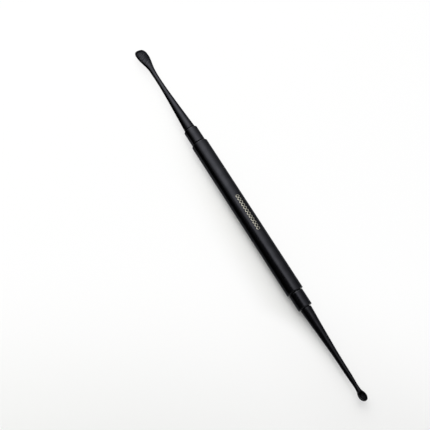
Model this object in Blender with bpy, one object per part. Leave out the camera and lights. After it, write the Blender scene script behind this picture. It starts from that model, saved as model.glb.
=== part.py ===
"""A double-ended nail curette: a round hollow handle, a large blunt spoon and a small deep cup.

Metres, +Z up. +X runs along the tool from the large spoon to the small cup. The tool lies on its
handle at z = 0 with the origin midway along its whole length. The cup opens upwards and the spoon
opens downwards, so the two working ends face opposite ways.
"""

import math

import bmesh
import bpy
from mathutils import Matrix, Vector

MM = 0.001

# Handle
HANDLE_LENGTH = 61.7 * MM
HANDLE_DIAMETER = 6.0 * MM
HANDLE_WALL = 0.9 * MM
HANDLE_CHAMFER = 0.25 * MM

# Collars: a visible barrel and a spigot that goes into the handle's bore
COLLAR_DIAMETER = 5.08 * MM
COLLAR_CHAMFER = 0.15 * MM
LARGE_COLLAR_LENGTH = 5.9 * MM
SMALL_COLLAR_LENGTH = 5.78 * MM
SPIGOT_LENGTH = 6.0 * MM
SPIGOT_CHAMFER = 0.2 * MM

# Fits: the radial gap of each spigot and tang, and the seam left at each shoulder
FIT_GAP = 0.05 * MM
SHOULDER_GAP = 0.3 * MM

# Shanks: a tang through the collar's bore, a shoulder, and a taper down to a neck
TANG_DIAMETER = 3.1 * MM
TANG_LENGTH = 10.0 * MM
TANG_CHAMFER = 0.2 * MM
SHOULDER_CHAMFER = 0.12 * MM

# Large end: lengths from the tip along the tool
LARGE_SHANK_LENGTH = 37.4 * MM
LARGE_ROOT_DIAMETER = 4.04 * MM
LARGE_NECK_DIAMETER = 1.82 * MM
SPOON_WIDTH = 4.4 * MM
SPOON_WIDEST_FROM_TIP = 3.2 * MM
SPOON_HOLLOW_FROM_TIP = 6.6 * MM
SPOON_RUNOUT_LENGTH = 4.8 * MM
SPOON_NECK_FROM_TIP = 14.1 * MM
SPOON_BACK_DEPTH = 1.1 * MM
SPOON_HOLLOW_DEPTH = 0.8 * MM
SPOON_RIM_WIDTH = 0.25 * MM
SPOON_RIM_THICKNESS = 0.15 * MM
SPOON_TIP_LIFT = 0.95 * MM
SPOON_LIFT_LENGTH = 9.6 * MM

# Small end
SMALL_SHANK_LENGTH = 34.3 * MM
SMALL_ROOT_DIAMETER = 3.87 * MM
SMALL_NECK_DIAMETER = 1.43 * MM
CUP_WIDTH = 2.8 * MM
CUP_WIDEST_FROM_TIP = 1.85 * MM
CUP_HOLLOW_FROM_TIP = 2.4 * MM
CUP_RUNOUT_LENGTH = 1.1 * MM
CUP_NECK_FROM_TIP = 5.4 * MM
CUP_BACK_DEPTH = 1.05 * MM
CUP_HOLLOW_DEPTH = 0.82 * MM
CUP_RIM_WIDTH = 0.2 * MM
CUP_RIM_THICKNESS = 0.12 * MM
CUP_TIP_LIFT = 0.5 * MM
CUP_LIFT_LENGTH = 5.4 * MM

# How the outline of a head falls from its widest place to the neck: along, and how much is left
SPOON_OUTLINE_SHARES = (
    (0.0, 1.0), (0.115, 0.94), (0.23, 0.78), (0.345, 0.57), (0.465, 0.33), (0.58, 0.17), (0.7, 0.07),
    (1.0, 0.0),
)
CUP_OUTLINE_SHARES = (
    (0.0, 1.0), (0.12, 0.915), (0.22, 0.8), (0.31, 0.61), (0.4, 0.39), (0.5, 0.215), (0.6, 0.09),
    (0.76, 0.03), (1.0, 0.0),
)

# How a shank swells from its neck to its root, and how steeply it meets the root
LARGE_TAPER_SHARES = (
    (0.0, 0.0), (0.1, 0.018), (0.2, 0.066), (0.3, 0.143), (0.4, 0.248), (0.6, 0.473), (0.8, 0.724),
    (1.0, 1.0),
)
SMALL_TAPER_SHARES = (
    (0.0, 0.0), (0.08, 0.0855), (0.17, 0.1505), (0.34, 0.216), (0.6, 0.471), (0.8, 0.727), (0.9, 0.868),
    (1.0, 1.0),
)
TAPER_END_SLOPE = 1.5

# The tips: a higher power makes a blunter curve; then the small flat and the first rings within the rim
SPOON_TIP_POWER = 2.8
CUP_TIP_POWER = 2.1
TIP_FLAT_SHARE = 0.12
TIP_RING_SHARES = (0.0, 0.08, 0.3, 0.62)

# Powers of the other curves: a hollow or a back is flatter in the middle the lower its power
SPOON_HOLLOW_POWER = 0.8
SPOON_BACK_POWER = 0.55
CUP_HOLLOW_POWER = 0.6
CUP_BACK_POWER = 0.5

# Counts
SEGMENTS = 32
CROWN_STATIONS = 8
HEAD_STATIONS = 20
TAPER_STATIONS = 12

COATING_COLOUR = (0.012, 0.012, 0.014, 1.0)
COATING_METALLIC = 0.3
HANDLE_ROUGHNESS = 0.38
COLLAR_ROUGHNESS = 0.36
SHANK_ROUGHNESS = 0.42
SHARP_ANGLE = math.radians(35.0)

HANDLE_BORE_RADIUS = HANDLE_DIAMETER / 2 - HANDLE_WALL
HALF_STEP = math.pi / SEGMENTS
AXIS_HEIGHT = HANDLE_DIAMETER / 2 * math.cos(HALF_STEP)
LARGE_END_REACH = SHOULDER_GAP + LARGE_COLLAR_LENGTH + SHOULDER_GAP + LARGE_SHANK_LENGTH
SMALL_END_REACH = SHOULDER_GAP + SMALL_COLLAR_LENGTH + SHOULDER_GAP + SMALL_SHANK_LENGTH
HANDLE_CENTRE = (LARGE_END_REACH - SMALL_END_REACH) / 2


def clear_scene():
    for thing in list(bpy.data.objects):
        bpy.data.objects.remove(thing, do_unlink=True)


def coating(name, roughness):
    """Satin black coating over steel."""
    material = bpy.data.materials.new(name)
    material.use_nodes = True
    shader = material.node_tree.nodes["Principled BSDF"]
    shader.inputs["Base Color"].default_value = COATING_COLOUR
    shader.inputs["Metallic"].default_value = COATING_METALLIC
    shader.inputs["Roughness"].default_value = roughness
    material.diffuse_color = COATING_COLOUR
    return material


def add_piece(name, bm, material, parent, location, turn):
    """Make a named object from a mesh and set it on the tool's axis."""
    bmesh.ops.recalc_face_normals(bm, faces=bm.faces)
    mesh = bpy.data.meshes.new(name)
    bm.to_mesh(mesh)
    bm.free()
    mesh.materials.append(material)
    mesh.shade_smooth()
    mesh.set_sharp_from_angle(angle=SHARP_ANGLE)
    piece = bpy.data.objects.new(name, mesh)
    bpy.context.collection.objects.link(piece)
    piece.parent = parent
    piece.location = location
    piece.rotation_euler = turn
    return piece


def turned(profile):
    """Spin a closed profile of (along, radius) points round the X axis, with a flat facet below."""
    bm = bmesh.new()
    corners = [bm.verts.new((along, 0, radius)) for along, radius in profile]
    for first, second in zip(corners, corners[1:] + corners[:1]):
        bm.edges.new((first, second))
    bmesh.ops.rotate(bm, verts=bm.verts, cent=(0, 0, 0), matrix=Matrix.Rotation(HALF_STEP, 3, "X"))
    bmesh.ops.spin(
        bm, geom=bm.verts[:] + bm.edges[:], cent=(0, 0, 0), axis=(1, 0, 0),
        angle=math.tau, steps=SEGMENTS, use_merge=True,
    )
    return bm


def lofted(rings):
    """Skin a list of rings with equal counts of points, and close both ends."""
    bm = bmesh.new()
    loops = [[bm.verts.new(point) for point in ring] for ring in rings]
    for near, far in zip(loops, loops[1:]):
        for i, corner in enumerate(near):
            bm.faces.new((near[i - 1], corner, far[i], far[i - 1]))
    bm.faces.new(loops[0])
    bm.faces.new(loops[-1])
    return bm


def smoothstep(value):
    value = min(max(value, 0.0), 1.0)
    return value * value * (3 - 2 * value)


def read_shares(shares, along, end_slope=0.0):
    """Read a rising or falling table as a smooth curve that starts level and never overshoots."""
    steepness = [(far[1] - near[1]) / (far[0] - near[0]) for near, far in zip(shares, shares[1:])]
    slopes = [2 * before * after / (before + after) for before, after in zip(steepness, steepness[1:])]
    slopes = [0.0] + slopes + [end_slope]
    for i, (low, high) in enumerate(zip(shares, shares[1:])):
        if along <= high[0]:
            span = high[0] - low[0]
            t = (along - low[0]) / span
            rise = smoothstep(t)
            into = t * (1 - t) ** 2 * slopes[i] * span
            out_of = t * t * (t - 1) * slopes[i + 1] * span
            return low[1] * (1 - rise) + high[1] * rise + into + out_of
    return shares[-1][1]


class Head:
    """The shape of one working end. Its own frame has the tip at 0, +X towards the handle, +Z open."""

    def __init__(self, width, widest, tip_power, outline_shares, hollow_end, runout, neck_at, neck_radius,
                 back_depth, back_power, hollow_depth, hollow_power, rim_width, rim_thickness,
                 lift, lift_length):
        self.half_width = width / 2
        self.widest = widest
        self.tip_power = tip_power
        self.outline_shares = outline_shares
        self.hollow_end = hollow_end
        self.runout = runout
        self.neck_at = neck_at
        self.neck_radius = neck_radius
        self.back_depth = back_depth
        self.back_power = back_power
        self.hollow_depth = hollow_depth
        self.hollow_power = hollow_power
        self.rim_width = rim_width
        self.rim_thickness = rim_thickness
        self.lift = lift
        self.lift_length = lift_length

    def half_width_at(self, along, inset=0.0):
        """Half the outline's width, or that of the same outline drawn in by a rim's width."""
        if along < self.widest:
            reach = (self.widest - max(along, inset)) / (self.widest - inset)
            power = self.tip_power
            bluntness = 1 - TIP_FLAT_SHARE ** power
            return (self.half_width - inset) * (1 - bluntness * reach ** power) ** (1 / power)
        share = (along - self.widest) / (self.neck_at - self.widest)
        left = read_shares(self.outline_shares, share)
        return self.neck_radius + (self.half_width - self.neck_radius) * left - inset

    def section(self, along):
        """The ring of points across the head at one distance from the tip.

        The first half of the ring crosses the open face, with a flat rim at both sides of the
        hollow. The second half comes back round the outside. Towards the neck both blend into
        the round bar.
        """
        half_width = self.half_width_at(along)
        inner_half_width = self.half_width_at(along, self.rim_width)
        rim_height = self.lift * max(0.0, 1 - along / self.lift_length) ** 2
        past_rim = min(max((along - self.rim_width) / (self.widest - self.rim_width), 0.0), 1.0)
        hollow = self.hollow_depth * (1 - (1 - past_rim) ** 2) ** self.hollow_power
        towards_tip = max(0.0, 1 - along / self.widest)
        back = self.back_depth * (1 - towards_tip ** 2) ** self.back_power
        blend_face = smoothstep((along - self.hollow_end) / self.runout)
        blend_back = smoothstep((along - self.hollow_end) / (self.neck_at - self.hollow_end))
        opposite = SEGMENTS // 2
        ring = []
        for i in range(SEGMENTS):
            angle = math.tau * i / SEGMENTS
            bar_across = math.cos(angle) * half_width
            bar_height = math.sin(angle) * self.neck_radius
            if 0 < i < opposite:
                share = math.cos(math.pi * (i - 1) / (opposite - 2))
                across = inner_half_width * share
                height = rim_height - hollow * max(0.0, 1 - share ** 2) ** self.hollow_power
                blend = blend_face
            else:
                across = bar_across
                swell = abs(math.sin(angle))
                height = rim_height - min(swell * self.back_depth, self.rim_thickness) - back * swell
                blend = blend_back
            place = Vector((along, across, height)).lerp(Vector((along, bar_across, bar_height)), blend)
            ring.append(place)
        return ring

    def stations(self):
        """Distances from the tip: close together round the tip, then even to the neck."""
        tip = [self.rim_width * share for share in TIP_RING_SHARES]
        crown = self.widest - self.rim_width
        for i in range(CROWN_STATIONS):
            tip.append(self.widest - crown * math.cos(math.pi / 2 * i / CROWN_STATIONS))
        reach = self.neck_at - self.widest
        return tip + [self.widest + reach * i / HEAD_STATIONS for i in range(HEAD_STATIONS)]


def round_ring(along, radius):
    """A round ring whose points match those of a head's section."""
    angles = [math.tau * i / SEGMENTS for i in range(SEGMENTS)]
    return [Vector((along, radius * math.cos(angle), radius * math.sin(angle))) for angle in angles]


def shank(head, length, root_diameter, taper_shares):
    """A head, its neck and taper, a shoulder, and the tang behind it."""
    root_radius = root_diameter / 2
    tang_radius = TANG_DIAMETER / 2
    taper_end = length - SHOULDER_CHAMFER
    tang_end = length + TANG_LENGTH
    rings = [head.section(along) for along in head.stations()]
    for i in range(TAPER_STATIONS + 1):
        share = i / TAPER_STATIONS
        swell = read_shares(taper_shares, share, TAPER_END_SLOPE)
        radius = head.neck_radius + (root_radius - head.neck_radius) * swell
        rings.append(round_ring(head.neck_at + (taper_end - head.neck_at) * share, radius))
    rings.append(round_ring(length, root_radius - SHOULDER_CHAMFER))
    rings.append(round_ring(length, tang_radius))
    rings.append(round_ring(tang_end - TANG_CHAMFER, tang_radius))
    rings.append(round_ring(tang_end, tang_radius - TANG_CHAMFER))
    return lofted(rings)


def handle_tube(parent):
    half = HANDLE_LENGTH / 2
    radius = HANDLE_DIAMETER / 2
    profile = (
        (-half, HANDLE_BORE_RADIUS),
        (-half, radius - HANDLE_CHAMFER),
        (-half + HANDLE_CHAMFER, radius),
        (half - HANDLE_CHAMFER, radius),
        (half, radius - HANDLE_CHAMFER),
        (half, HANDLE_BORE_RADIUS),
    )
    material = coating("handle_black", HANDLE_ROUGHNESS)
    add_piece("handle_tube", turned(profile), material, parent, (HANDLE_CENTRE, 0, 0), (0, 0, 0))


def collar(name, length, material, parent, place, turn):
    """A bush whose barrel stands clear of the handle's end, from x = 0 outwards, with its spigot inside."""
    spigot_radius = HANDLE_BORE_RADIUS - FIT_GAP
    bore_radius = TANG_DIAMETER / 2 + FIT_GAP
    radius = COLLAR_DIAMETER / 2
    inner_face = SHOULDER_GAP
    outer_face = SHOULDER_GAP + length
    profile = (
        (-SPIGOT_LENGTH, bore_radius),
        (-SPIGOT_LENGTH, spigot_radius - SPIGOT_CHAMFER),
        (-SPIGOT_LENGTH + SPIGOT_CHAMFER, spigot_radius),
        (inner_face, spigot_radius),
        (inner_face, radius - COLLAR_CHAMFER),
        (inner_face + COLLAR_CHAMFER, radius),
        (outer_face - COLLAR_CHAMFER, radius),
        (outer_face, radius - COLLAR_CHAMFER),
        (outer_face, bore_radius),
    )
    add_piece(name, turned(profile), material, parent, place, turn)


def large_end(parent):
    """The collar and the spoon at -X. The spoon is turned over, so it opens downwards."""
    handle_face = HANDLE_CENTRE - HANDLE_LENGTH / 2
    material = coating("large_collar_black", COLLAR_ROUGHNESS)
    collar("large_end_collar", LARGE_COLLAR_LENGTH, material, parent, (handle_face, 0, 0), (0, 0, math.pi))
    spoon = Head(
        SPOON_WIDTH, SPOON_WIDEST_FROM_TIP, SPOON_TIP_POWER, SPOON_OUTLINE_SHARES, SPOON_HOLLOW_FROM_TIP,
        SPOON_RUNOUT_LENGTH, SPOON_NECK_FROM_TIP, LARGE_NECK_DIAMETER / 2, SPOON_BACK_DEPTH, SPOON_BACK_POWER,
        SPOON_HOLLOW_DEPTH, SPOON_HOLLOW_POWER, SPOON_RIM_WIDTH, SPOON_RIM_THICKNESS,
        SPOON_TIP_LIFT, SPOON_LIFT_LENGTH,
    )
    body = shank(spoon, LARGE_SHANK_LENGTH, LARGE_ROOT_DIAMETER, LARGE_TAPER_SHARES)
    material = coating("large_spoon_black", SHANK_ROUGHNESS)
    tip = (handle_face - LARGE_END_REACH, 0, 0)
    add_piece("large_spoon_shank", body, material, parent, tip, (math.pi, 0, 0))


def small_end(parent):
    """The collar and the cup at +X. The cup opens upwards."""
    handle_face = HANDLE_CENTRE + HANDLE_LENGTH / 2
    material = coating("small_collar_black", COLLAR_ROUGHNESS)
    collar("small_end_collar", SMALL_COLLAR_LENGTH, material, parent, (handle_face, 0, 0), (0, 0, 0))
    cup = Head(
        CUP_WIDTH, CUP_WIDEST_FROM_TIP, CUP_TIP_POWER, CUP_OUTLINE_SHARES, CUP_HOLLOW_FROM_TIP,
        CUP_RUNOUT_LENGTH, CUP_NECK_FROM_TIP, SMALL_NECK_DIAMETER / 2, CUP_BACK_DEPTH, CUP_BACK_POWER,
        CUP_HOLLOW_DEPTH, CUP_HOLLOW_POWER, CUP_RIM_WIDTH, CUP_RIM_THICKNESS, CUP_TIP_LIFT, CUP_LIFT_LENGTH,
    )
    body = shank(cup, SMALL_SHANK_LENGTH, SMALL_ROOT_DIAMETER, SMALL_TAPER_SHARES)
    material = coating("small_cup_black", SHANK_ROUGHNESS)
    tip = (handle_face + SMALL_END_REACH, 0, 0)
    add_piece("small_cup_shank", body, material, parent, tip, (0, 0, math.pi))


def main():
    clear_scene()
    tool_axis = bpy.data.objects.new("tool_axis", None)
    bpy.context.collection.objects.link(tool_axis)
    tool_axis.location = (0, 0, AXIS_HEIGHT)
    handle_tube(tool_axis)
    large_end(tool_axis)
    small_end(tool_axis)


main()
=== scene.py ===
"""A satin-black nail curette lying on a white table top, in soft light from above.

Metres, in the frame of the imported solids: +X runs along the tool from the large spoon to the small
cup, +Z is up. Every piece is made again here with finer surfaces over the solid that it stands for.
"""
import math

import bpy
from mathutils import Matrix, Vector


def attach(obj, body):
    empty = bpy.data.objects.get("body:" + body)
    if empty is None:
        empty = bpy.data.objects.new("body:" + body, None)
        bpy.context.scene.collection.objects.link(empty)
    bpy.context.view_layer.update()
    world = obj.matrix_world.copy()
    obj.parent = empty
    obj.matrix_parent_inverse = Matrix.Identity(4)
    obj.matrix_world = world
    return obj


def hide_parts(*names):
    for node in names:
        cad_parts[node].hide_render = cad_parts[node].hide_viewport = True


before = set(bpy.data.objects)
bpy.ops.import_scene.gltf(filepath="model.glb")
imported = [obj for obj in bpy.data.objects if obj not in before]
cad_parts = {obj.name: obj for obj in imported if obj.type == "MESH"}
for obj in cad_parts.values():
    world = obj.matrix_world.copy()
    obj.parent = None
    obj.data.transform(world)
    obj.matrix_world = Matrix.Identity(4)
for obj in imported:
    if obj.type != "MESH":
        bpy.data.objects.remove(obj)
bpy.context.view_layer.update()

MM = 0.001

# Handle and collars
HANDLE_LENGTH = 61.7 * MM
HANDLE_RADIUS = 3.0 * MM
HANDLE_BORE_RADIUS = 2.1 * MM
COLLAR_RADIUS = 2.54 * MM
LARGE_COLLAR_LENGTH = 5.9 * MM
SMALL_COLLAR_LENGTH = 5.78 * MM
SPIGOT_RADIUS = 2.05 * MM
SPIGOT_LENGTH = 6.0 * MM
COLLAR_BORE_RADIUS = 1.6 * MM
SEAM = 0.3 * MM
TANG_RADIUS = 1.55 * MM
TANG_LENGTH = 10.0 * MM
SHOULDER_ROUNDING = 0.2 * MM
BORE_ROUNDING = 0.07 * MM
HANDLE_ROUNDING = 0.30 * MM
COLLAR_ROUNDING = 0.28 * MM

# Where things sit along the tool and above the table. The solid handle lies on one of its flat sides.
SOLID_SIDES = 32
AXIS_HEIGHT = HANDLE_RADIUS * math.cos(math.pi / SOLID_SIDES)
LARGE_SHANK_LENGTH = 37.4 * MM
SMALL_SHANK_LENGTH = 34.3 * MM
LARGE_END_REACH = SEAM + LARGE_COLLAR_LENGTH + SEAM + LARGE_SHANK_LENGTH
SMALL_END_REACH = SEAM + SMALL_COLLAR_LENGTH + SEAM + SMALL_SHANK_LENGTH
HANDLE_CENTRE = (LARGE_END_REACH - SMALL_END_REACH) / 2

# How finely the surfaces are made
AROUND = 128
CROWN_STATIONS = 26
HEAD_STATIONS = 60
TAPER_STATIONS = 40
ARC_STEPS = 8
SHARP_ANGLE = math.radians(32.0)


# Shader maths

class Signal:
    """A socket of a node tree. Arithmetic on it adds Math nodes."""

    def __init__(self, nodes, socket):
        self.nodes = nodes
        self.socket = socket

    def maths(self, operation, *values):
        sockets = dict(zip(("Value", "Value_001"), values))
        return self.nodes.add("Math", {"operation": operation}, **sockets)["Value"]

    def __add__(self, other):
        return self.maths("ADD", self, other)

    def __radd__(self, other):
        return self.maths("ADD", other, self)

    def __sub__(self, other):
        return self.maths("SUBTRACT", self, other)

    def __rsub__(self, other):
        return self.maths("SUBTRACT", other, self)

    def __mul__(self, other):
        return self.maths("MULTIPLY", self, other)

    def __rmul__(self, other):
        return self.maths("MULTIPLY", other, self)

    def __truediv__(self, other):
        return self.maths("DIVIDE", self, other)

    def __rtruediv__(self, other):
        return self.maths("DIVIDE", other, self)

    def __pow__(self, other):
        return self.maths("POWER", self, other)

    def __rpow__(self, other):
        return self.maths("POWER", other, self)

    def sine(self):
        return self.maths("SINE", self)

    def exponent(self):
        return self.maths("EXPONENT", self)

    def size(self):
        return self.maths("ABSOLUTE", self)

    def angle_to(self, other):
        return self.maths("ARCTAN2", self, other)

    def least(self, other):
        return self.maths("MINIMUM", self, other)

    def most(self, other):
        return self.maths("MAXIMUM", self, other)


class Nodes:
    """The nodes of a material, a light or the world, and the one way in which they are added."""

    def __init__(self, tree):
        self.tree = tree

    def add(self, kind, settings=None, **sockets):
        """Add a node, its settings first and then its sockets, and return its outputs by name."""
        node = self.tree.nodes.new("ShaderNode" + kind)
        for setting, value in (settings or {}).items():
            setattr(node, setting, value)
        for name, value in sockets.items():
            self.give(node, name, value)
        return {output.name: Signal(self, output) for output in node.outputs if output.enabled}

    def give(self, node, name, value):
        """Link a signal to a node's socket, or set that socket to a plain value."""
        fitting = (s for s in node.inputs if s.enabled and name in (s.identifier, s.name.replace(" ", "_")))
        slot = next(fitting)
        if isinstance(value, Signal):
            self.tree.links.new(value.socket, slot)
        else:
            slot.default_value = value

    def noise(self, place, scale, detail=2.0, roughness=0.5):
        """Smooth noise from 0 to 1. The scale is in cells to the metre."""
        sockets = {"Vector": place, "Scale": scale, "Detail": detail, "Roughness": roughness}
        return self.add("TexNoise", {"noise_dimensions": "3D"}, **sockets)["Fac"]

    def between(self, signal, low, high):
        """0 below low, 1 above high, and smooth between."""
        sockets = {"Value": signal, "From_Min": low, "From_Max": high, "To_Min": 0.0, "To_Max": 1.0}
        return self.add("MapRange", {"interpolation_type": "SMOOTHSTEP"}, **sockets)["Result"]

    def mix(self, factor, first, second):
        """Blend two colours."""
        return self.add("Mix", {"data_type": "RGBA"}, Factor=factor, A=first, B=second)["Result"]

    def shows_background(self):
        """1 for the rays that show a background: straight to the eye, or by way of gloss or glass."""
        path = self.add("LightPath")
        return path["Is Camera Ray"].most(path["Is Glossy Ray"]).most(path["Is Transmission Ray"])

    def measured(self, vector, direction):
        """How far a place or a direction reaches along another direction."""
        sockets = {"Vector": vector, "Vector_001": direction}
        return self.add("VectorMath", {"operation": "DOT_PRODUCT"}, **sockets)["Value"]


class Finish(Nodes):
    """A material being made, with its Principled shader."""

    def __init__(self, name, **constants):
        self.material = bpy.data.materials.new(name)
        self.material.use_nodes = True
        super().__init__(self.material.node_tree)
        self.shader = self.tree.nodes["Principled BSDF"]
        self.place = self.add("TexCoord")["Object"]
        self.set(**constants)

    def set(self, **values):
        """Give the shader's sockets their values or signals."""
        for name, value in values.items():
            self.give(self.shader, name, value)

    def mark(self, name):
        """A share from 0 to 1 that the mesh bears at every point."""
        return self.add("Attribute", {"attribute_name": name})["Fac"]

    def streaks(self, sizes, slant=0.0, detail=3.0, roughness=0.6):
        """Noise in streaks of the given sizes along X, Y and Z, turned about Z by a slant in degrees."""
        turn = (0.0, 0.0, math.radians(slant))
        settings = {"vector_type": "TEXTURE"}
        place = self.add("Mapping", settings, Vector=self.place, Rotation=turn, Scale=sizes)["Vector"]
        return self.noise(place, 1.0, detail, roughness)


BLACK = (0.0228, 0.0232, 0.0262, 1.0)
DEEP_BLACK = (0.0190, 0.0193, 0.0220, 1.0)
# The darkest black, towards the spoon's tip, with painted shade on its near side
DARK_TIP_AND_SHADE_BLACK = (0.0060, 0.0062, 0.0074, 1.0)
# A matt black for dark grinding marks, and inside the cup, where it is partly matt and partly painted shade
# in the hollow
MATT_AND_SHADE_BLACK = (0.0044, 0.0045, 0.0053, 1.0)
THIN_BLACK = (0.0340, 0.0345, 0.0375, 1.0)
# A lighter black, painted light on one inner wall of the cup
PAINTED_WALL_LIGHT = (0.075, 0.076, 0.079, 1.0)
WORN_STEEL = (0.060, 0.061, 0.064, 1.0)
ETCHED_STEEL = (0.40, 0.385, 0.315, 1.0)

# How fine the coat's patterns are: the scales of their noise
CLOUDS = 420.0
WORN_PATCHES = 2600.0
GRAIN = 26000.0
SCRATCHED_AREAS = 300.0
DARK_TIP_PATCHES = 1150.0

# Streaks: their sizes along X, Y and Z, and their slants in degrees
TURNED_LINES = (0.11 * MM, 3.8 * MM, 3.8 * MM)
LONG_LINES = (3.8 * MM, 0.11 * MM, 0.11 * MM)
HAIRLINES = (6.0 * MM, 0.09 * MM, 0.09 * MM)
HAIRLINE_SLANT = 9.0
GRINDING_MARKS = (0.38 * MM, 2.4 * MM, 2.4 * MM)
GRINDING_SLANT = -23.0
INSIDE_MARKS = (0.22 * MM, 0.55 * MM, 0.4 * MM)
INSIDE_SLANT = 40.0

# Where on its pattern's scale from 0 to 1 each thing starts and is full
CLOUDY = (0.35, 0.68)
WORN_THROUGH = (0.55, 0.95)
SCRATCHED = (0.66, 0.74)
SCRATCHED_AREA = (0.50, 0.62)
DEEPEST_PATCH = (0.60, 0.38)
LIGHT_GRINDING = (0.49, 0.66)
DARK_GRINDING = (0.50, 0.34)
POLISHED_STREAK = (0.55, 0.68)
# Painted light in streaks on one inner wall of the cup
PAINTED_WALL_STREAK = (0.40, 0.55)

# How thin the coat is on an edge: all along it, and more in patches
EDGE_WEAR = 0.55
PATCHY_WEAR = 0.9

# How strongly each thing shows in the colour
SCRATCH_COLOUR = 0.5
# The spoon's darker tip, with painted shade on its near side, evenly and in patches
EVEN_DARK_TIP = 0.6
PATCHY_DARK_TIP = 0.4
GRINDING_COLOUR = 0.7
POLISHED_COLOUR = 0.5

# How much rougher each thing is. Where a noise carries it, the noise's middle changes nothing.
NOISE_MIDDLE = 0.5
CLOUD_ROUGHNESS = 0.07
LINE_ROUGHNESS = 0.12
SCRATCH_ROUGHNESS = 0.06
GROUND_ROUGHNESS = 0.13
GRINDING_ROUGHNESS = 0.12
INSIDE_ROUGHNESS = 0.30
POLISHED_SMOOTHNESS = 0.10
LIT_WALL_ROUGHNESS = 0.12
ETCHED_ROUGHNESS = 0.22
WORN_ROUGHNESS = 0.05

# The bump, and how high or deep each thing is in it
BUMP_STRENGTH = 0.35
BUMP_DEPTH = 0.004 * MM
GRAIN_HEIGHT = 0.35
SCRATCH_DEPTH = 0.5
GRINDING_HEIGHT = 3.0
INSIDE_HEIGHT = 3.0
ETCHED_DEPTH = 1.4


class BlackCoat(Finish):
    """Satin black over steel: a little cloudy, finely lined as it was polished, and worn thin on its edges.

    gloss is the roughness, grazing the tint at a glancing angle and wear how much steel shows on the
    edges. line_sizes say which way the polishing lines run and how fine they are, and line_depth how
    strong they are.
    """

    def __init__(self, name, gloss, grazing, wear, line_sizes, line_depth):
        super().__init__(name, Metallic=1.0, Specular_Tint=(grazing, grazing, grazing, 1.0))
        cloud = self.noise(self.place, CLOUDS, detail=3.0, roughness=0.6)
        patchy = self.noise(self.place, WORN_PATCHES, detail=3.0, roughness=0.6)
        grain = self.noise(self.place, GRAIN, detail=2.0, roughness=0.65)
        lines = self.streaks(line_sizes)
        thinned = self.mark("edge") * (EDGE_WEAR + patchy * PATCHY_WEAR)
        self.worn = self.between(thinned, *WORN_THROUGH) * wear
        self.colour = self.mix(self.between(cloud, *CLOUDY), DEEP_BLACK, BLACK)
        lined = (lines - NOISE_MIDDLE) * line_depth * LINE_ROUGHNESS
        self.roughness = gloss + (cloud - NOISE_MIDDLE) * CLOUD_ROUGHNESS + lined
        self.height = grain * GRAIN_HEIGHT + lines * line_depth

    def hairlines(self):
        """A few fine, straight scratches from use, in scattered places."""
        dashes = self.streaks(HAIRLINES, HAIRLINE_SLANT, detail=0.0, roughness=0.0)
        scattered = self.between(self.noise(self.place, SCRATCHED_AREAS, detail=1.0), *SCRATCHED_AREA)
        scratch = self.between(dashes, *SCRATCHED) * scattered
        self.colour = self.mix(scratch * SCRATCH_COLOUR, self.colour, THIN_BLACK)
        self.roughness = self.roughness + scratch * SCRATCH_ROUGHNESS
        self.height = self.height - scratch * SCRATCH_DEPTH

    def ground(self):
        """Slanting grinding marks across, and a deeper black in patches towards the tip, with painted shade
        on the near side.
        """
        dark_tip_and_shade = self.mark("ground")
        lined = self.mark("lined")
        marks = self.streaks(GRINDING_MARKS, GRINDING_SLANT)
        patches = self.noise(self.place, DARK_TIP_PATCHES, detail=2.0, roughness=0.6)
        # A darker black towards the tip, in patches, with painted shade on the near side
        darkest_tip_and_shade = dark_tip_and_shade * (EVEN_DARK_TIP + self.between(patches, *DEEPEST_PATCH) * PATCHY_DARK_TIP)
        self.colour = self.mix(darkest_tip_and_shade, self.colour, DARK_TIP_AND_SHADE_BLACK)
        light = lined * self.between(marks, *LIGHT_GRINDING) * GRINDING_COLOUR
        self.colour = self.mix(light, self.colour, THIN_BLACK)
        dark = lined * self.between(marks, *DARK_GRINDING) * GRINDING_COLOUR
        self.colour = self.mix(dark, self.colour, MATT_AND_SHADE_BLACK)
        uneven = lined * (marks - NOISE_MIDDLE) * GRINDING_ROUGHNESS
        self.roughness = self.roughness + dark_tip_and_shade * GROUND_ROUGHNESS + uneven
        self.height = self.height + lined * marks * GRINDING_HEIGHT

    def matt_inside(self):
        """A matt, uneven black inside the cup, partly its matt inside and partly painted shade in the
        hollow, with a few streaks that caught the polish, and painted light in streaks on one inner wall.
        """
        inside = self.mark("inside") * (1.0 - self.worn)
        painted_lit_wall = self.mark("painted_lit_wall")
        marks = self.streaks(INSIDE_MARKS, INSIDE_SLANT, detail=2.0, roughness=0.5)
        polished = self.between(marks, *POLISHED_STREAK)
        # The cup's matt inside, darkened further as painted shade in the hollow
        shaded_uneven_black = self.mix(polished * POLISHED_COLOUR, MATT_AND_SHADE_BLACK, BLACK)
        self.colour = self.mix(inside, self.colour, shaded_uneven_black)
        # Painted light in streaks on one inner wall
        self.colour = self.mix(painted_lit_wall * self.between(marks, *PAINTED_WALL_STREAK), self.colour, PAINTED_WALL_LIGHT)
        matt = inside * (INSIDE_ROUGHNESS - polished * POLISHED_SMOOTHNESS)
        self.roughness = self.roughness + matt + painted_lit_wall * LIT_WALL_ROUGHNESS
        self.height = self.height + inside * marks * INSIDE_HEIGHT

    def etched(self, mask):
        """Bright steel where a pattern was etched through the coat."""
        self.colour = self.mix(mask, self.colour, ETCHED_STEEL)
        self.roughness = self.roughness + mask * ETCHED_ROUGHNESS
        self.height = self.height - mask * ETCHED_DEPTH

    def done(self):
        """Wear the edges, connect the shader and hand over the material."""
        colour = self.mix(self.worn, self.colour, WORN_STEEL)
        bump = self.add("Bump", Strength=BUMP_STRENGTH, Distance=BUMP_DEPTH, Height=self.height)["Normal"]
        roughness = self.roughness + self.worn * WORN_ROUGHNESS
        self.set(Base_Color=colour, Roughness=roughness, Normal=bump)
        return self.material


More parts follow.
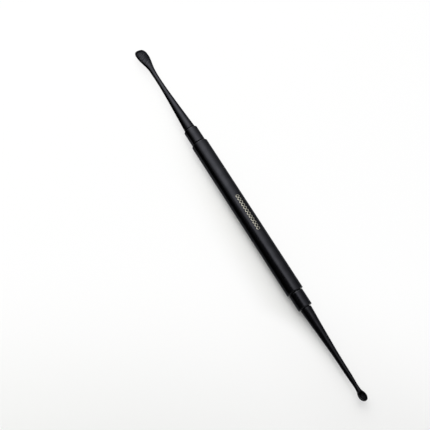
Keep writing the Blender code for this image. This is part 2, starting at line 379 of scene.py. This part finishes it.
TURNED_COAT = {"gloss": 0.20, "grazing": 0.50, "wear": 0.65, "line_sizes": TURNED_LINES, "line_depth": 0.45}
SPOON_COAT = {"gloss": 0.24, "grazing": 0.36, "wear": 0.45, "line_sizes": LONG_LINES, "line_depth": 0.6}
CUP_COAT = {"gloss": 0.24, "grazing": 0.44, "wear": 0.12, "line_sizes": LONG_LINES, "line_depth": 0.6}


def black_handle():
    coat = BlackCoat("black_with_etched_band", **TURNED_COAT)
    coat.hairlines()
    coat.etched(plaited_band(coat))
    return coat.done()


def black_collar(name):
    coat = BlackCoat(name, **TURNED_COAT)
    coat.hairlines()
    return coat.done()


def black_spoon():
    coat = BlackCoat("black_ground_spoon", **SPOON_COAT)
    coat.ground()
    return coat.done()


def black_cup():
    coat = BlackCoat("black_small_cup", **CUP_COAT)
    coat.matt_inside()
    return coat.done()


# An etched band of plain plaited lines on top of the handle
BAND_REACH = 7.2 * MM
BAND_PITCH = 2.4 * MM
BAND_SWING = 0.56 * MM
STRAND_WIDTH = 0.19 * MM
STRAND_CORE = 0.35
STRAND_FADE = 0.65


def plaited_band(finish):
    """1 on the etched lines and 0 elsewhere. The lines swing across the handle's top."""
    parts = finish.add("SeparateXYZ", Vector=finish.place)
    along = parts["X"]
    across = parts["Y"].angle_to(parts["Z"]) * HANDLE_RADIUS
    swing = (along * (math.tau / BAND_PITCH)).sine() * BAND_SWING
    nearest = (across - swing).size().least((across + swing).size())
    strand = 1.0 - finish.between(nearest, STRAND_WIDTH * STRAND_CORE, STRAND_WIDTH * STRAND_FADE)
    inside = 1.0 - finish.between(along.size(), BAND_REACH - STRAND_WIDTH, BAND_REACH)
    return strand * inside


# Meshes

# A rounding bears the edge's mark, most in its middle. One more ring lies beyond each of its ends.
EDGE_START = 0.2
EDGE_RISE = 6.0
RING_BEYOND = 0.3


def softened(corners):
    """Round each corner of a closed outline, given as (along, radius, rounding), and mark it as an edge."""
    points = []
    for i, (along, radius, rounding) in enumerate(corners):
        here = Vector((along, radius))
        before = Vector(corners[i - 1][:2])
        after = Vector(corners[(i + 1) % len(corners)][:2])
        start = here + (before - here).normalized() * rounding
        end = here + (after - here).normalized() * rounding
        points.append((*(start + (start - here) * RING_BEYOND), 0.0))
        for step in range(ARC_STEPS + 1):
            t = step / ARC_STEPS
            spot = start * (1 - t) ** 2 + here * 2 * t * (1 - t) + end * t ** 2
            points.append((*spot, min(1.0, EDGE_START + EDGE_RISE * t * (1 - t))))
        points.append((*(end + (end - here) * RING_BEYOND), 0.0))
    return points


def round_ring(along, radius):
    """A circle of points around the X axis."""
    angles = [math.tau * i / AROUND for i in range(AROUND)]
    return [Vector((along, radius * math.cos(a), radius * math.sin(a))) for a in angles]


def skinned(name, rings, marks, closed):
    """A mesh over rings of equal counts. A closed run of rings joins its last ring to its first.

    marks holds, under each name, how much of that mark every point bears.
    """
    places = [point for ring in rings for point in ring]
    faces = []
    pairs = [(i, i + 1) for i in range(len(rings) - 1)]
    if closed:
        pairs.append((len(rings) - 1, 0))
    else:
        faces.append(list(range(AROUND)))
        faces.append([len(places) - 1 - i for i in range(AROUND)])
    for near, far in pairs:
        for i in range(AROUND):
            j = (i + 1) % AROUND
            faces.append((near * AROUND + j, near * AROUND + i, far * AROUND + i, far * AROUND + j))
    mesh = bpy.data.meshes.new(name)
    mesh.from_pydata(places, [], faces)
    mesh.shade_smooth()
    mesh.set_sharp_from_angle(angle=SHARP_ANGLE)
    for mark, shares in marks.items():
        layer = mesh.attributes.new(mark, "FLOAT", "POINT")
        layer.data.foreach_set("value", [share for ring in shares for share in ring])
    return mesh


def turned(name, corners):
    """The mesh of a turned piece: its outline, softened and carried around the X axis."""
    outline = softened(corners)
    rings = [round_ring(along, radius) for along, radius, _ in outline]
    edges = [[edge] * AROUND for _, _, edge in outline]
    return skinned(name, rings, {"edge": edges}, True)


def smoothstep(value):
    """0 up to 0, 1 from 1 on, and smooth between."""
    value = min(max(value, 0.0), 1.0)
    return value * value * (3 - 2 * value)


def read_shares(shares, along, end_slope=0.0):
    """Read a rising or falling table as a smooth curve that starts level and never overshoots."""
    steepness = [(far[1] - near[1]) / (far[0] - near[0]) for near, far in zip(shares, shares[1:])]
    slopes = [2 * before * after / (before + after) for before, after in zip(steepness, steepness[1:])]
    slopes = [0.0] + slopes + [end_slope]
    for i, (low, high) in enumerate(zip(shares, shares[1:])):
        if along <= high[0]:
            span = high[0] - low[0]
            t = (along - low[0]) / span
            rise = smoothstep(t)
            into = t * (1 - t) ** 2 * slopes[i] * span
            out_of = t * t * (t - 1) * slopes[i + 1] * span
            return low[1] * (1 - rise) + high[1] * rise + into + out_of
    return shares[-1][1]


OPPOSITE = AROUND // 2

# How wide a head's flat front is, and where the rings within its rim lie. The margin counts the ring on the
# rim's inner edge among them.
TIP_FLAT_SHARE = 0.12
TIP_RING_SHARES = (0.0, 0.02, 0.08, 0.18, 0.32, 0.5, 0.75)
TIP_MARGIN = 1.001

# How steeply a shank's taper ends at its shoulder
TAPER_END_SLOPE = 1.5


class Head:
    """A working end. Its own frame has the tip at 0, +X towards the handle, +Z on the open side.

    Points 0 to OPPOSITE of a ring lie on the open side and the rest on the back. Each kind of head adds
    its own marks. They are worked out from how far a point belongs to the head and not yet to the round
    bar behind it, from 1 to 0, and from how far it lies to one side, from -1 to 1.
    """

    def __init__(self, **sizes):
        self.__dict__.update(sizes)

    def half_width_at(self, along, inset=0.0):
        """Half the width at one distance from the tip: a blunt curve, and then the outline's shares."""
        if along < self.widest:
            reach = (self.widest - max(along, inset)) / (self.widest - inset)
            power = self.tip_power
            bluntness = 1 - TIP_FLAT_SHARE ** power
            return (self.width / 2 - inset) * (1 - bluntness * reach ** power) ** (1 / power)
        share = (along - self.widest) / (self.neck_at - self.widest)
        left = read_shares(self.outline_shares, share)
        return self.neck_radius + (self.width / 2 - self.neck_radius) * left - inset

    def section(self, along):
        """The ring across the head at one distance from the tip, and the marks of its points."""
        half_width = self.half_width_at(along)
        inner_half_width = self.half_width_at(along, self.rim_width)

        # The rim rises towards the tip. From the tip to the widest place the hollow and the back deepen.
        rim_height = self.lift * max(0.0, 1 - along / self.lift_length) ** 2
        past_rim = min(max((along - self.rim_width) / (self.widest - self.rim_width), 0.0), 1.0)
        hollow = self.hollow_depth * (1 - (1 - past_rim) ** 2) ** self.hollow_power
        towards_tip = max(0.0, 1 - along / self.widest)
        back = self.back_depth * (1 - towards_tip ** 2) ** self.back_power

        # Behind the hollow both sides pass over into the round bar
        blend_face = smoothstep((along - self.hollow_end) / self.runout)
        blend_back = smoothstep((along - self.hollow_end) / (self.neck_at - self.hollow_end))

        at_tip = along <= self.rim_width * TIP_MARGIN
        ring = []
        marks = {name: [] for name in self.mark_names}
        for i in range(AROUND):
            angle = math.tau * i / AROUND
            bar_across = math.cos(angle) * half_width
            bar_height = math.sin(angle) * self.neck_radius
            if 0 < i < OPPOSITE:
                share = math.cos(math.pi * (i - 1) / (OPPOSITE - 2))
                across = inner_half_width * share
                height = rim_height - hollow * max(0.0, 1 - share ** 2) ** self.hollow_power
                blend = blend_face
            else:
                across = bar_across
                swell = abs(math.sin(angle))
                height = rim_height - min(swell * self.back_depth, self.rim_thickness) - back * swell
                blend = blend_back
            bar = Vector((along, bar_across, bar_height))
            ring.append(Vector((along, across, height)).lerp(bar, blend))
            at_rim = min(i, abs(i - OPPOSITE), AROUND - i) <= 1
            marks["edge"].append((1 - blend) * (1.0 if at_rim or at_tip else 0.0))
            for name, share in self.marks_at(along, i, 1 - blend, across / half_width).items():
                marks[name].append(share)
        return ring, marks

    def stations(self):
        """How far from the tip each ring lies, closest together where the tip is blunt."""
        tip = [self.rim_width * share for share in TIP_RING_SHARES]
        crown = self.widest - self.rim_width
        for i in range(CROWN_STATIONS):
            tip.append(self.widest - crown * math.cos(math.pi / 2 * i / CROWN_STATIONS))
        reach = self.neck_at - self.widest
        return tip + [self.widest + reach * i / HEAD_STATIONS for i in range(HEAD_STATIONS)]


# The darkening is painted deeper on the near side than on the far side, by a cosine around the ring, as
# painted shade
NEAR_SHADE_MIDDLE = 0.82
NEAR_SHADE_SWING = 0.32


class Spoon(Head):
    """The large blunt spoon."""

    # The ground mark is a darker tip, with painted shade on the near side
    mark_names = ("edge", "ground", "lined")

    def marks_at(self, along, i, headed, side):
        """How dark a point is painted towards the tip, with painted shade on the near side, and how far the
        grinding left lines on it.
        """
        ground = 1 - smoothstep((along - self.ground_from) / self.ground_fade)
        near_side_shade = min(1.0, NEAR_SHADE_MIDDLE + NEAR_SHADE_SWING * math.cos(math.tau * i / AROUND))
        lined = 1 - smoothstep((along - self.lined_from) / self.lined_fade)
        return {"ground": ground * near_side_shade, "lined": lined}


# How far to one side, in half widths of the cup, the painted light on one inner wall starts, and over how
# much it grows
LIT_WALL_FROM = 0.25
LIT_WALL_FADE = 0.3


class Cup(Head):
    """The small round cup."""

    # The last mark holds painted light on one inner wall
    mark_names = ("edge", "inside", "painted_lit_wall")

    def marks_at(self, along, i, headed, side):
        """How far a point lies inside, where painted shade darkens the hollow, and how much painted light
        one inner wall bears.
        """
        inside = headed if 0 < i < OPPOSITE else 0.0
        lit_side = smoothstep((side - LIT_WALL_FROM) / LIT_WALL_FADE) if 1 < i < OPPOSITE - 1 else 0.0
        return {"inside": inside, "painted_lit_wall": headed * lit_side}


SPOON = Spoon(
    width=4.4 * MM, widest=3.2 * MM, tip_power=2.8, neck_at=14.1 * MM, neck_radius=0.91 * MM,
    outline_shares=(
        (0.0, 1.0), (0.115, 0.94), (0.23, 0.78), (0.345, 0.57), (0.465, 0.33), (0.58, 0.17), (0.7, 0.07),
        (1.0, 0.0),
    ),
    hollow_end=6.6 * MM, runout=4.8 * MM, back_depth=1.1 * MM, back_power=0.55,
    hollow_depth=0.8 * MM, hollow_power=0.8, rim_width=0.25 * MM, rim_thickness=0.15 * MM,
    lift=0.95 * MM, lift_length=9.6 * MM, ground_from=2.0 * MM, ground_fade=7.0 * MM,
    lined_from=5.5 * MM, lined_fade=5.0 * MM,
    length=LARGE_SHANK_LENGTH, root_radius=2.02 * MM,
    taper_shares=(
        (0.0, 0.0), (0.1, 0.018), (0.2, 0.066), (0.3, 0.143), (0.4, 0.248), (0.6, 0.473), (0.8, 0.724),
        (1.0, 1.0),
    ),
)
CUP = Cup(
    width=2.8 * MM, widest=1.85 * MM, tip_power=2.1, neck_at=5.4 * MM, neck_radius=0.715 * MM,
    outline_shares=(
        (0.0, 1.0), (0.12, 0.915), (0.22, 0.8), (0.31, 0.61), (0.4, 0.39), (0.5, 0.215), (0.6, 0.09),
        (0.76, 0.03), (1.0, 0.0),
    ),
    hollow_end=2.4 * MM, runout=1.1 * MM, back_depth=1.05 * MM, back_power=0.5,
    hollow_depth=0.82 * MM, hollow_power=0.6, rim_width=0.2 * MM, rim_thickness=0.12 * MM,
    lift=0.5 * MM, lift_length=5.4 * MM, length=SMALL_SHANK_LENGTH, root_radius=1.935 * MM,
    taper_shares=(
        (0.0, 0.0), (0.08, 0.0855), (0.17, 0.1505), (0.34, 0.216), (0.6, 0.471), (0.8, 0.727), (0.9, 0.868),
        (1.0, 1.0),
    ),
)


def shank(name, head):
    """A head, its neck and taper, the shoulder's broken edge, and the tang behind it."""
    rings = []
    marks = {name: [] for name in head.mark_names}

    def add_ring(ring, **shares):
        rings.append(ring)
        for mark, kept in marks.items():
            kept.append(shares.get(mark, [0.0] * AROUND))

    for along in head.stations():
        ring, shares = head.section(along)
        add_ring(ring, **shares)
    taper_end = head.length - SHOULDER_ROUNDING
    for i in range(TAPER_STATIONS + 1):
        share = i / TAPER_STATIONS
        swell = read_shares(head.taper_shares, share, TAPER_END_SLOPE)
        radius = head.neck_radius + (head.root_radius - head.neck_radius) * swell
        add_ring(round_ring(head.neck_at + (taper_end - head.neck_at) * share, radius))
    for i in range(1, ARC_STEPS + 1):
        t = i / ARC_STEPS
        along = taper_end + SHOULDER_ROUNDING * (2 * t - t * t)
        radius = head.root_radius - SHOULDER_ROUNDING * t * t
        add_ring(round_ring(along, radius), edge=[min(1.0, EDGE_RISE * t * (1 - t))] * AROUND)
    add_ring(round_ring(head.length, TANG_RADIUS))
    add_ring(round_ring(head.length + TANG_LENGTH, TANG_RADIUS))
    return skinned(name, rings, marks, False)


def place_piece(name, mesh, material, location, turn, node):
    """Show a mesh in place of the solid node that it stands for."""
    mesh.materials.append(material)
    piece = bpy.data.objects.new(name, mesh)
    bpy.context.collection.objects.link(piece)
    piece.matrix_world = Matrix.Translation(location) @ turn
    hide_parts(node)
    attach(piece, "root")


def make_handle():
    half = HANDLE_LENGTH / 2
    corners = (
        (-half, HANDLE_BORE_RADIUS, BORE_ROUNDING),
        (-half, HANDLE_RADIUS, HANDLE_ROUNDING),
        (half, HANDLE_RADIUS, HANDLE_ROUNDING),
        (half, HANDLE_BORE_RADIUS, BORE_ROUNDING),
    )
    middle = (HANDLE_CENTRE, 0, AXIS_HEIGHT)
    mesh = turned("round_handle", corners)
    place_piece("round_handle", mesh, black_handle(), middle, Matrix(), "handle_tube")


def make_collar(name, length, location, turn, node):
    corners = (
        (-SPIGOT_LENGTH, COLLAR_BORE_RADIUS, BORE_ROUNDING),
        (-SPIGOT_LENGTH, SPIGOT_RADIUS, BORE_ROUNDING),
        (SEAM, SPIGOT_RADIUS, BORE_ROUNDING),
        (SEAM, COLLAR_RADIUS, COLLAR_ROUNDING),
        (SEAM + length, COLLAR_RADIUS, COLLAR_ROUNDING),
        (SEAM + length, COLLAR_BORE_RADIUS, BORE_ROUNDING),
    )
    place_piece(name, turned(name, corners), black_collar("black_" + name), location, turn, node)


def make_large_end():
    face = HANDLE_CENTRE - HANDLE_LENGTH / 2
    turn = Matrix.Rotation(math.pi, 4, "Z")
    place = (face, 0, AXIS_HEIGHT)
    make_collar("large_collar", LARGE_COLLAR_LENGTH, place, turn, "large_end_collar")
    turn = Matrix.Rotation(math.pi, 4, "X")
    place = (face - LARGE_END_REACH, 0, AXIS_HEIGHT)
    mesh = shank("large_spoon", SPOON)
    place_piece("large_spoon", mesh, black_spoon(), place, turn, "large_spoon_shank")


def make_small_end():
    face = HANDLE_CENTRE + HANDLE_LENGTH / 2
    place = (face, 0, AXIS_HEIGHT)
    turn = Matrix()
    make_collar("small_collar", SMALL_COLLAR_LENGTH, place, turn, "small_end_collar")
    turn = Matrix.Rotation(math.pi, 4, "Z")
    place = (face + SMALL_END_REACH, 0, AXIS_HEIGHT)
    mesh = shank("small_cup", CUP)
    place_piece("small_cup", mesh, black_cup(), place, turn, "small_cup_shank")


# Table, light and camera

# Directions on the table, as the picture shows them
PICTURE_RIGHT = Vector((0.525, 0.851, 0.0))
PICTURE_UP = Vector((-0.851, 0.525, 0.0))

TABLE_REACH = 3.0
TABLE_WHITE = (0.880, 0.880, 0.853, 1.0)
TABLE_PALE_WHITE = (0.890, 0.890, 0.863, 1.0)
TABLE_CLOUDS = 6.0
FULL_WHITE = (1.0, 1.0, 1.0, 1.0)

# The table's shading below is painted: painted shadow beside the tool and painted shade towards the
# picture's bottom
# Where each part of the table's shading starts and is full, measured along the tool, across it, down or to
# the left in the picture, or from the tool's middle
SHADE_STARTS = (-60.0 * MM, 5.0 * MM)
SHADE_ENDS = (36.0 * MM, 70.0 * MM)
SHADE_NARROWS = (30.0 * MM, 55.0 * MM)
SHADE_ACROSS = (-16.0 * MM, -5.0 * MM)
BEHIND_TOOL = (0.0, 2.5 * MM)
CONTACT_STARTS = (34.0 * MM, 46.0 * MM)
CONTACT_ENDS = (56.0 * MM, 74.0 * MM)
CONTACT_ACROSS = (-1.8 * MM, -0.2 * MM)
OPEN_TABLE = (5.0 * MM, 28.0 * MM)
FALL_DOWN = (18.0 * MM, 90.0 * MM)
FALL_LEFT = (-60.0 * MM, 70.0 * MM)
FAR_TABLE = (110.0 * MM, 250.0 * MM)

# How far the table is lifted beside the tool, how much more in the open, and what takes from the lift
LIFT = 0.84
OPEN_LIFT = 0.10
FALL = 0.50
MORE_FALL = 0.42
SHADE_DEPTH = 0.9
SHADE_FADE = 0.95
SHADE_NARROWING = 1.8
CONTACT_DEPTH = 0.6


def table_lift(finish):
    """How far the table is lifted towards white.

    It is lifted least beside the handle, as painted shadow, and less towards the picture's bottom, as
    painted shade.
    """
    along = finish.measured(finish.place, (1.0, 0.0, 0.0))
    across = finish.measured(finish.place, (0.0, 1.0, 0.0))
    near_side = 1.0 - finish.between(across, *BEHIND_TOOL)
    # Painted shadow beside the handle. Towards the large end it fades, and the shadow there is lifted away
    # as painted light.
    beside = finish.between(along, *SHADE_STARTS) * (1.0 - finish.between(along, *SHADE_ENDS) * SHADE_FADE)
    reach = across * (1.0 + finish.between(along, *SHADE_NARROWS) * SHADE_NARROWING)
    shaded = beside * near_side * finish.between(reach, *SHADE_ACROSS)
    # A deeper painted contact shadow beside the small shank
    thin_part = finish.between(along, *CONTACT_STARTS) * (1.0 - finish.between(along, *CONTACT_ENDS))
    painted_contact_shadow = thin_part * near_side * finish.between(across, *CONTACT_ACROSS)
    # Painted shade, darker towards the picture's bottom and more so to its left
    downwards = finish.measured(finish.place, -PICTURE_UP)
    leftwards = finish.measured(finish.place, -PICTURE_RIGHT)
    open_lift = LIFT + finish.between(across.size(), *OPEN_TABLE) * OPEN_LIFT
    shade_fall = FALL + finish.between(leftwards, *FALL_LEFT) * MORE_FALL
    lift = open_lift - finish.between(downwards, *FALL_DOWN) * shade_fall
    lift = lift * (1.0 - shaded * SHADE_DEPTH) * (1.0 - painted_contact_shadow * CONTACT_DEPTH)
    distance = finish.add("VectorMath", {"operation": "LENGTH"}, Vector=finish.place)["Value"]
    return lift.most(finish.between(distance, *FAR_TABLE))


def make_table():
    """A matt white table top. What the eye sees of it is lifted towards white, less where shadow and shade
    are painted.
    """
    finish = Finish("white_table", Roughness=0.9, Specular_IOR_Level=0.1)
    cloud = finish.noise(finish.place, TABLE_CLOUDS)
    finish.set(Base_Color=finish.mix(cloud, TABLE_WHITE, TABLE_PALE_WHITE))
    white = finish.add("Emission", Color=FULL_WHITE, Strength=1.0)["Emission"]
    matt = Signal(finish, finish.shader.outputs[0])
    lift = finish.shows_background() * table_lift(finish)
    top = finish.add("MixShader", Fac=lift, Shader=matt, Shader_001=white)["Shader"]
    finish.give(finish.tree.nodes["Material Output"], "Surface", top)
    mesh = bpy.data.meshes.new("table_top")
    r = TABLE_REACH
    mesh.from_pydata([(-r, -r, 0), (r, -r, 0), (r, r, 0), (-r, r, 0)], [], [(0, 1, 2, 3)])
    mesh.materials.append(finish.material)
    table = bpy.data.objects.new("table_top", mesh)
    bpy.context.collection.objects.link(table)


# The light hangs level above the table. Its edges, in metres, are named as the picture shows them.
LIGHT_HEIGHT = 0.45
LIGHT_LEFT = -1.10
LIGHT_RIGHT = 0.50
LIGHT_NEAR = -0.36
LIGHT_FAR = 0.85
LIGHT_POWER = 4.0

# A bright band runs up the picture, softer on its left, and fades at its far end
BRIGHT_MIDDLE = -0.18
BRIGHT_RIGHT = 0.26
BRIGHT_LEFT = 0.42
BRIGHT_STRENGTH = 3.0
BRIGHT_LEAST = 0.9
FADE_FROM = 0.30
FADE_REACH = 0.30

# How strong the rest of the light is, and how much it grows with every metre up the picture
PLAIN_STRENGTH = 0.25
GROWTH = 0.7
WHOLE_STRENGTH = 0.75

# The light's near part is dark, but for a weaker tail over the large end
LIT_FROM = (-0.088, -0.074)
TAIL_WAY = (-0.975, 0.22, 0.0)
TAIL_FROM = (0.042, 0.078)
TAIL_ACROSS = (-0.36, -0.14)
TAIL_STRENGTH = 0.50


def radiance(nodes):
    """How strongly each place on the light shines."""
    place = nodes.add("NewGeometry")["Position"]
    upwards = nodes.measured(place, PICTURE_UP)
    from_band = nodes.measured(place, PICTURE_RIGHT) - BRIGHT_MIDDLE
    reach = from_band.most(0.0) / BRIGHT_RIGHT + (0.0 - from_band).most(0.0) / BRIGHT_LEFT
    band = (reach * reach * -1.0).exponent()
    beyond = (upwards - FADE_FROM).most(0.0) / FADE_REACH
    fade = (beyond * beyond * -1.0).exponent()
    bright = band * (upwards * GROWTH + BRIGHT_LEAST) * fade * BRIGHT_STRENGTH
    whole = (bright + upwards * GROWTH + PLAIN_STRENGTH) * WHOLE_STRENGTH
    lit = nodes.between(upwards, *LIT_FROM)
    over_end = nodes.between(nodes.measured(place, TAIL_WAY), *TAIL_FROM)
    tail = over_end * nodes.between(upwards, *TAIL_ACROSS) * (1.0 - lit) * TAIL_STRENGTH
    return whole * lit + tail


def make_soft_light():
    """One wide level light, brightest along a band a little to the left of the tool."""
    width = LIGHT_RIGHT - LIGHT_LEFT
    depth = LIGHT_FAR - LIGHT_NEAR
    lamp = bpy.data.lights.new("soft_light", "AREA")
    lamp.shape = "RECTANGLE"
    lamp.size = width
    lamp.size_y = depth
    lamp.energy = LIGHT_POWER * width * depth
    lamp.use_nodes = True
    nodes = Nodes(lamp.node_tree)
    nodes.give(lamp.node_tree.nodes["Emission"], "Strength", radiance(nodes))
    light = bpy.data.objects.new("soft_light", lamp)
    centre = PICTURE_RIGHT * (LIGHT_LEFT + LIGHT_RIGHT) / 2 + PICTURE_UP * (LIGHT_NEAR + LIGHT_FAR) / 2
    turn = Matrix((PICTURE_RIGHT, PICTURE_UP, Vector((0, 0, 1)))).transposed().to_4x4()
    light.matrix_world = Matrix.Translation(centre + Vector((0, 0, LIGHT_HEIGHT))) @ turn
    light.visible_camera = False
    bpy.context.collection.objects.link(light)


CARD_BLACK = (0.01, 0.01, 0.01, 1.0)
CARD_DARK_GREY = (0.02, 0.02, 0.02, 1.0)
CARD_CLOUDS = 30.0
CARD_REACH = 1.0
CARD_WIDTH = 1.5
CARD_HEIGHT = 0.25
CARD_LIFT = 0.4 * MM

# The card's edge beside the tool, from the small end to the large one
CARD_EDGE = (
    (CARD_REACH, -7.0 * MM), (10.0 * MM, -7.5 * MM), (-36.0 * MM, -9.5 * MM), (-40.0 * MM, -1.2 * MM),
    (-CARD_REACH, -1.2 * MM),
)


def make_dark_card():
    """A black card on the near side, out of the picture, that darkens the lower near side of the tool.

    It lies flat beside the tool and stands up at its far end.
    """
    finish = Finish("dark_card", Roughness=0.9, Specular_IOR_Level=0.0)
    cloud = finish.noise(finish.place, CARD_CLOUDS)
    finish.set(Base_Color=finish.mix(cloud, CARD_BLACK, CARD_DARK_GREY))
    mesh = bpy.data.meshes.new("dark_card")
    corners = ((-CARD_REACH, -CARD_WIDTH), (CARD_REACH, -CARD_WIDTH), *CARD_EDGE)
    flat = [(x, y, 0) for x, y in corners]
    top = [(x, y, CARD_HEIGHT) for x, y in corners[:2]]
    faces = [range(len(flat)), (0, 1, len(flat) + 1, len(flat))]
    mesh.from_pydata(flat + top, [], faces)
    mesh.materials.append(finish.material)
    card = bpy.data.objects.new("dark_card", mesh)
    card.location.z = CARD_LIFT
    card.visible_camera = False
    card.visible_diffuse = False
    card.visible_shadow = False
    bpy.context.collection.objects.link(card)


# The room's glow comes from the far side. GLOW_ROUND says how far it reaches round to the near side.
GLOW_COLOUR = (0.97, 0.98, 1.03, 1.0)
GLOW_ROUND = 0.35
GLOW_POWER = 3.0
GLOW_STRENGTH = 0.85
GLOW_LEAST = 0.07

# A second glow lies low at both ends of the tool
END_GLOW_ROUND = (0.45, 0.85)
END_GLOW_HEIGHT = (0.60, 0.25)
END_GLOW_STRENGTH = 0.9

# The white wall's top, as a share of straight up
WALL_TOP = (0.09, 0.13)


def make_room():
    """A glow around the table, and a low white wall that shows as the background."""
    world = bpy.data.worlds.new("room")
    world.use_nodes = True
    bpy.context.scene.world = world
    nodes = Nodes(world.node_tree)
    direction = nodes.add("TexCoord")["Generated"]
    towards_far_side = nodes.measured(direction, PICTURE_UP)
    towards_end = nodes.measured(direction, (1.0, 0.0, 0.0)).size()
    height = nodes.measured(direction, (0.0, 0.0, 1.0))
    low_ends = nodes.between(towards_end, *END_GLOW_ROUND) * nodes.between(height, *END_GLOW_HEIGHT)
    around = ((towards_far_side + GLOW_ROUND) / (1.0 + GLOW_ROUND)).most(0.0)
    brightness = around ** GLOW_POWER * GLOW_STRENGTH + GLOW_LEAST + low_ends * END_GLOW_STRENGTH
    glow = nodes.add("Background", Color=GLOW_COLOUR, Strength=brightness)["Background"]
    white = nodes.add("Background", Color=FULL_WHITE, Strength=1.0)["Background"]
    low_wall = (1.0 - nodes.between(height, *WALL_TOP)) * nodes.shows_background()
    both = nodes.add("MixShader", Fac=low_wall, Shader=glow, Shader_001=white)["Shader"]
    nodes.give(world.node_tree.nodes["World Output"], "Surface", both)


# The camera's view, as fitted to the outlines in the photograph
SENSOR_WIDTH = 36.0
FOCAL_LENGTH = 63.18
CLOSEST_SEEN = 10.0 * MM
CAMERA_RIGHT = Vector((0.5147, 0.8345, 0.1966))
CAMERA_UP = Vector((-0.8135, 0.4029, 0.4197))
CAMERA_STAND = Vector((63.903, -104.929, 224.983)) * MM


def make_camera():
    lens = bpy.data.cameras.new("camera")
    lens.sensor_width = SENSOR_WIDTH
    lens.lens = FOCAL_LENGTH
    lens.clip_start = CLOSEST_SEEN
    camera = bpy.data.objects.new("camera", lens)
    bpy.context.collection.objects.link(camera)
    right = CAMERA_RIGHT.normalized()
    back = right.cross(CAMERA_UP).normalized()
    turn = Matrix((right, back.cross(right), back)).transposed().to_4x4()
    stand = CAMERA_STAND + Vector((HANDLE_CENTRE, 0, AXIS_HEIGHT))
    camera.matrix_world = Matrix.Translation(stand) @ turn
    bpy.context.scene.camera = camera


def main():
    make_handle()
    make_large_end()
    make_small_end()
    make_table()
    make_soft_light()
    make_dark_card()
    make_room()
    make_camera()
    bpy.context.scene.view_settings.view_transform = "Standard"


main()
